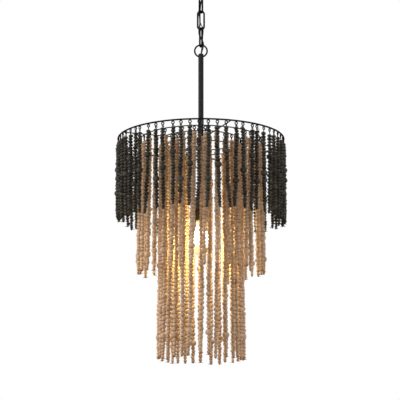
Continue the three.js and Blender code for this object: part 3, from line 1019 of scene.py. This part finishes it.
eye_shape = thin_wire("eye", EYE_RADIUS, EYE_WIRE, 14, 6)
loop_shape = thin_wire("loop", LOOP_RADIUS, LOOP_WIRE, 10, 5)
twist_shape = thin_wire("twist", 0.001, 0.0018, 12, 4, 2.5, -1)
curl_shape = thin_wire("curl", CURL_RADIUS, 0.0015, 8, 4, 0.8, 0.004)
fray_shape = thin_wire("fray", FRAY_RADIUS, 0.0018, 4, 3, 0.2, -0.0006)
print("an eye has", len(eye_shape.polygons), "faces")


# %% [markdown]
# ## How each tier is strung
# Strands are strung by hand and never hang alike. The table says by strand number which ones
# are turned along their hoop, in degrees, and which lean at the foot, hang longer or have
# lower big beads, in millimetres. The others stray at random. Sizes are in metres. Where two
# groups meet, the strands keep room to swing past each other.

# %% Say how each tier is strung
TAN = {
    "slot": "natural_beads", "look": natural_wood, "shape": barrel_bead, "start": 0.0155,
    "stray": 0.7, "spread": 0.2, "lower": {},
}
TIERS = {
    "outer": {
        "count": 60, "group": 5, "first": -1.2, "length": 0.257, "shorter": 0.01,
        "slot": "charcoal_beads", "look": charcoal_wood, "shape": round_bead,
        "start": 0.016, "pitch": 0.0093, "bead": 0.0071, "tip": 0.0048, "taper": 0.036,
        "bend": 2, "flare": 0, "stray": 0.5, "lean": 0.002, "spread": 0.3, "batch": (0.35, 0.65),
        "big": [[(0.0858, 0.0097)], [(0.1655, 0.0097)], [(0.1263, 0.0097)]],
        "lower": {5: 14, 6: 6.5, 8: 8},
        "turns": {
            4: 1, 6: 1.5, 19: 0.3, 20: -0.7, 21: 2.8, 22: 2.3, 28: 0.9, 29: 1.9, 30: 1.9, 53: -1.9,
        },
        "leans": {0: -4, 1: -4, 2: 8, 3: 11, 4: -7, 5: 6, 6: -5, 8: 3, 54: -11, 55: 4, 58: -2.5},
        "longer": {
            0: 6, 3: -9, 4: -10, 5: -7, 18: -4, 19: -10, 20: -13, 22: -10, 24: -22, 39: -6, 40: -11,
            41: -11, 42: -20, 43: -18, 44: -16, 45: -13, 46: -10, 47: -8, 48: -5, 57: -8, 58: -10,
        },
    },
    "middle": {
        **TAN, "count": 36, "group": 3, "first": 4, "length": 0.402, "shorter": 0.01,
        "pitch": 0.0106, "bead": 0.0069, "tip": 0.0042, "taper": 0.045,
        "bend": 1.3, "flare": 0.005, "lean": 0.0022, "batch": (0.45, 0.8),
        "big": [
            [(0.059, 0.0078), (0.292, 0.0082), (0.35, 0.0098)],
            [(0.283, 0.0082), (0.302, 0.0076), (0.343, 0.0088)],
        ],
        "turns": {
            4: 1.5, 5: -2, 11: -0.6, 12: -0.6, 17: -1.2, 18: -3.6, 23: -2.4, 30: 1, 34: -1,
        },
        "leans": {
            0: -3.5, 1: 1.5, 2: 6, 5: -8, 11: -1, 12: 1, 18: 1, 23: -6, 24: 0, 30: -4,
            33: -3, 34: -5, 35: -7,
        },
        "longer": {9: -3, 11: -6, 12: -10, 23: -12, 24: -5, 25: -6, 26: -5},
    },
    "inner": {
        **TAN, "count": 32, "group": 4, "first": 0.5, "length": 0.643, "shorter": 0.006,
        "pitch": 0.0108, "bead": 0.007, "tip": 0.0046, "taper": 0.062,
        "bend": 3, "flare": 0.0065, "lean": 0.0026, "batch": (0.35, 0.65),
        "big": [
            [(0.488, 0.0077), (0.504, 0.0085), (0.535, 0.0073)],
            [(0.419, 0.0075), (0.467, 0.0083), (0.523, 0.0076), (0.571, 0.0102)],
        ],
        "turns": {
            1: 0.6, 2: 0.8, 3: 1, 4: 3, 7: -0.3, 8: 0.2, 10: -2, 11: -3.7, 12: -5, 13: -2.2,
            14: -4.4, 15: -3, 18: -2, 27: -1.5, 28: -2, 29: -2.3, 30: -2.7, 31: -2,
        },
        "leans": {
            0: -2, 1: -5, 2: -9, 3: 0, 4: -2, 11: -1, 12: 1, 27: -5.5, 28: -8, 29: -3, 30: -2, 31: -9,
        },
        "longer": {},
    },
}
print("strands in all:", sum(tier["count"] for tier in TIERS.values()))


# %% [markdown]
# ## Sizing the beads of a strand
# Beads are sized one after the other down the thread, each a little different and smaller
# towards the foot. A big bead takes its turn when its place is reached. So no gaps are left,
# as they would be between evenly spaced copies.

# %% Size the beads of one strand
KNOT_ROOM = 0.0075
LAST_ROOM = 0.004
BIG_HALF = 0.92


def bead_rows(tier, index):
    """The drop, radius and half-height of each bead of a strand, from the top down."""
    big = tier["big"][index % len(tier["big"])]
    lower = tier["lower"].get(index, 0) * MM
    waiting = [(drop + lower + random.uniform(-0.0015, 0.0015), radius) for drop, radius in big]
    length = tier["length"] - random.uniform(0, tier["shorter"]) + tier["longer"].get(index, 0) * MM
    rows = []
    pitch = tier["pitch"] * random.uniform(0.93, 1.07)
    drop = tier["start"] + random.uniform(0, 0.35) * pitch
    while drop < length - KNOT_ROOM - LAST_ROOM:
        left = length - KNOT_ROOM - drop
        share = min(1.0, left / tier["taper"])
        usual = tier["tip"] + (tier["bead"] - tier["tip"]) * share
        radius = usual * random.uniform(0.86, 1.07)
        half = pitch / 2 * (0.35 + 0.65 * radius / tier["bead"]) * random.uniform(0.86, 1.14)
        if waiting and drop + waiting[0][1] * BIG_HALF + half >= waiting[0][0]:
            radius = waiting.pop(0)[1] * random.uniform(0.97, 1.01)
            half = radius * BIG_HALF
        rows.append((drop + half, radius, half))
        drop += 2 * half
    return rows, length


# %% [markdown]
# ## Hanging the wires
# The wires of a whole group go into one mesh, stamped at the strand's place under the hoop.
# That keeps the scene light, where an object for each would make thousands.

# %% Stamp shapes and hang a strand's wires
EYE_BITE = 0.0004
LOOP_BITE = 0.0002
TWIST_BITE = 0.004


def stamp(bm, shape, place, layers=(), tone=0.0):
    start = len(bm.verts)
    bm.from_mesh(shape)
    bm.verts.ensure_lookup_table()
    fresh = bm.verts[start:]
    if layers:
        for vert in fresh:
            vert[layers[0]] = tone
            vert[layers[1]] = abs(vert.co.z)
    bmesh.ops.transform(bm, matrix=place, verts=fresh)


def down(drop):
    return Matrix.Translation((0, 0, -drop))


def spin_about(axis, low, high):
    return Matrix.Rotation(random.uniform(low, high), 4, axis)


def hang_wires(wires, home, hoop_wire, bead_start):
    upright = Matrix.Rotation(math.pi / 2, 4, "X")
    eye_drop = hoop_wire / 2 + EYE_RADIUS + EYE_WIRE / 2 - EYE_BITE
    loop_drop = eye_drop + EYE_RADIUS + EYE_WIRE / 2 + LOOP_RADIUS - LOOP_BITE
    twist_top = loop_drop + LOOP_RADIUS * 0.7
    twist_long = max(bead_start - twist_top, 0) + TWIST_BITE
    stamp(wires, eye_shape, home @ down(eye_drop) @ upright)
    stamp(wires, loop_shape, home @ down(loop_drop) @ (spin_about("Z", -0.8, 0.8) @ upright))
    stamp(wires, twist_shape, home @ (down(twist_top) @ Matrix.Diagonal((1, 1, twist_long, 1))))
    if random.random() < 0.5:
        place = home @ (down(twist_top + MM) @ spin_about("Z", 0, math.tau)) @ spin_about("X", 0.6, 1.5)
        stamp(wires, curl_shape, place @ Matrix.Translation((-CURL_RADIUS, 0, 0)))


# %% [markdown]
# ## Threading the beads
# Each bead sits askew and a little off the thread, in its own tone. The strand hangs in a
# faint wave and leans more and more towards its foot, where a knot with frayed ends holds
# it. "tone" 2 marks knot and thread for the wood's node tree.

# %% Thread one strand and knot its foot
BIG_FROM = 0.0077
BEAD_PLAY = 0.0005
BEAD_TILT = 0.16
SWAY = 0.0008
SWAY_WAVES = 13
THREAD_TONE = 2.0
KNOT_SIZE = (0.0034, 0.003, 0.0025, 1)


def thread_strand(beads, layers, home, tier, index):
    rows, length = bead_rows(tier, index)
    lean_x = tier["leans"].get(index, random.gauss(0, tier["lean"]) / MM) * MM
    lean_y = abs(random.gauss(0, tier["lean"] * 0.7)) - tier["flare"]
    wave = random.uniform(0, math.tau)
    batch = random.uniform(*tier["batch"])

    def hang(drop):
        share = drop / length
        sway = SWAY * (math.sin(wave + SWAY_WAVES * share) - math.sin(wave))
        aside = share ** tier["bend"]
        return home @ Matrix.Translation((lean_x * aside + sway, lean_y * aside, -drop))

    for drop, radius, half in rows:
        is_big = radius > BIG_FROM
        tilt = spin_about("X", -BEAD_TILT, BEAD_TILT) @ spin_about("Y", -BEAD_TILT, BEAD_TILT)
        play = 0 if is_big else BEAD_PLAY
        nudge = Matrix.Translation((random.gauss(0, play), random.gauss(0, play), 0))
        size = Matrix.Diagonal((radius, radius, half, 1))
        place = hang(drop) @ nudge @ tilt @ spin_about("Z", 0, math.tau) @ size
        tone = min(1, max(0, batch + random.gauss(0, tier["spread"])))
        stamp(beads, big_bead if is_big else tier["shape"], place, layers, tone)
    bottom = rows[-1][0] + rows[-1][2]
    stamp(beads, knot, hang(bottom + 0.0016) @ Matrix.Diagonal(KNOT_SIZE), layers, THREAD_TONE)
    for _ in range(3):
        place = hang(bottom + 0.0025) @ spin_about("Z", 0, math.tau) @ spin_about("Y", -0.1, 0.5)
        place = place @ Matrix.Translation((-FRAY_RADIUS, 0, 0))
        stamp(beads, fray_shape, place, layers, THREAD_TONE)


# %% [markdown]
# ## Groups of strands
# A group of neighbouring strands swings as one body, so its beads are one piece and its
# wires another, and both ride on that body.

# %% String every tier
def string_group(tier_name, group):
    tier = TIERS[tier_name]
    hoop_low, hoop_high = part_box(f"{tier_name}_hoop")
    hoop_wire = hoop_high.z - hoop_low.z
    beads, wires = bmesh.new(), bmesh.new()
    layers = [beads.verts.layers.float.new(name) for name in ("tone", "end")]
    for step in range(tier["group"]):
        index = group * tier["group"] + step
        stray = random.gauss(0, tier["stray"])
        if index in tier["leans"]:
            stray = 0
        angle = tier["first"] + index * 360 / tier["count"] + tier["turns"].get(index, stray)
        under_hoop = (0, -(hoop_high.x - hoop_wire / 2), (hoop_low.z + hoop_high.z) / 2)
        home = Matrix.Rotation(math.radians(angle), 4, "Z") @ Matrix.Translation(under_hoop)
        hang_wires(wires, home, hoop_wire, tier["start"])
        thread_strand(beads, layers, home, tier, index)
    body = f"{tier_name}_strands_{group + 1:02d}"
    fine = {"sharp": 1.2, "clean": SAME_PLACE}
    make_piece(f"{tier_name}_beads_{group + 1:02d}", beads, tier["look"], body, body, tier["slot"], **fine)
    make_piece(f"{tier_name}_wires_{group + 1:02d}", wires, black_wire, body, **fine)


for tier_name, tier in TIERS.items():
    for group in range(tier["count"] // tier["group"]):
        string_group(tier_name, group)


# %% [markdown]
# ## The floor
# The studio has a pale floor far below. It gives light of its own only to the camera, so it
# looks white and keeps the soft shadow, and the beads get no extra light from it.

# %% Lay the pale floor
FLOOR_HEIGHT = -2.5
FLOOR_GLOW = 0.42
bm = bmesh.new()
bmesh.ops.create_grid(bm, x_segments=1, y_segments=1, size=12)
move_by(bm, (0, 0, FLOOR_HEIGHT))
floor_mesh = mesh_from("floor", bm)
floor = add_object("floor", floor_mesh)
floor_finish = Finish("pale_floor", roughness=0.8)
dial(floor_finish.shader, {"Base Color": (0.82, 0.82, 0.81, 1), "Emission Color": (1, 1, 1, 1)})
looked_at = floor_finish.add("ShaderNodeLightPath").outputs["Is Camera Ray"]
floor_finish.feed("Emission Strength", floor_finish.span(looked_at, 0.0, FLOOR_GLOW, 0.0, 1.0))
floor_mesh.materials.append(floor_finish.material)
print("floor at", FLOOR_HEIGHT, "m")


# %% [markdown]
# ## The white background
# The camera, clear glass and polished metal see the background as pure white. It lights the
# rest of the scene less strongly, so that the colours stay true.

# %% Hang the white background
ROOM_LIGHT = 0.36
world = bpy.data.worlds.new("studio")
bpy.context.scene.world = world
world.use_nodes = True
nodes = world.node_tree.nodes
join = world.node_tree.links.new
nodes.clear()


def white_light(strength):
    node = nodes.new("ShaderNodeBackground")
    dial(node, {"Strength": strength, "Color": (1, 1, 1, 1)})
    return node.outputs["Background"]


def either(first, second):
    node = nodes.new("ShaderNodeMath")
    node.operation = "MAXIMUM"
    join(first, node.inputs[0])
    join(second, node.inputs[1])
    return node.outputs[0]


seen, lit = white_light(1), white_light(ROOM_LIGHT)
rays = nodes.new("ShaderNodeLightPath").outputs
clear = either(rays["Is Glossy Ray"], rays["Is Transmission Ray"])
choice = nodes.new("ShaderNodeMixShader")
join(either(clear, rays["Is Camera Ray"]), choice.inputs["Fac"])
join(lit, choice.inputs[1])
join(seen, choice.inputs[2])
out = nodes.new("ShaderNodeOutputWorld")
join(choice.outputs["Shader"], out.inputs["Surface"])
print("the room lights the scene at", ROOM_LIGHT)


# %% [markdown]
# ## Two soft lamps
# Two large soft lamps stand one on each side, so that the sides of the strands that face
# inward fall into shadow and the beads look round. The left one is the stronger.

# %% Place the soft lamps
SOFTBOX_SIZE = 1.8
AIM_UNDER_HOOPS = 0.2


def softbox(name, place, power):
    data = bpy.data.lights.new(name, "AREA")
    data.shape = "RECTANGLE"
    data.size = data.size_y = SOFTBOX_SIZE
    data.energy = power
    box = add_object(name, data)
    box.location = place
    aim = Vector((0, 0, hoop_plane - AIM_UNDER_HOOPS)) - Vector(place)
    box.rotation_euler = aim.to_track_quat("-Z", "Y").to_euler()
    print(name, power, "W")


softbox("key_light", (-3.2, -1.2, 0.4), 112)
softbox("fill_light", (3.2, -1.2, 0.0), 47)
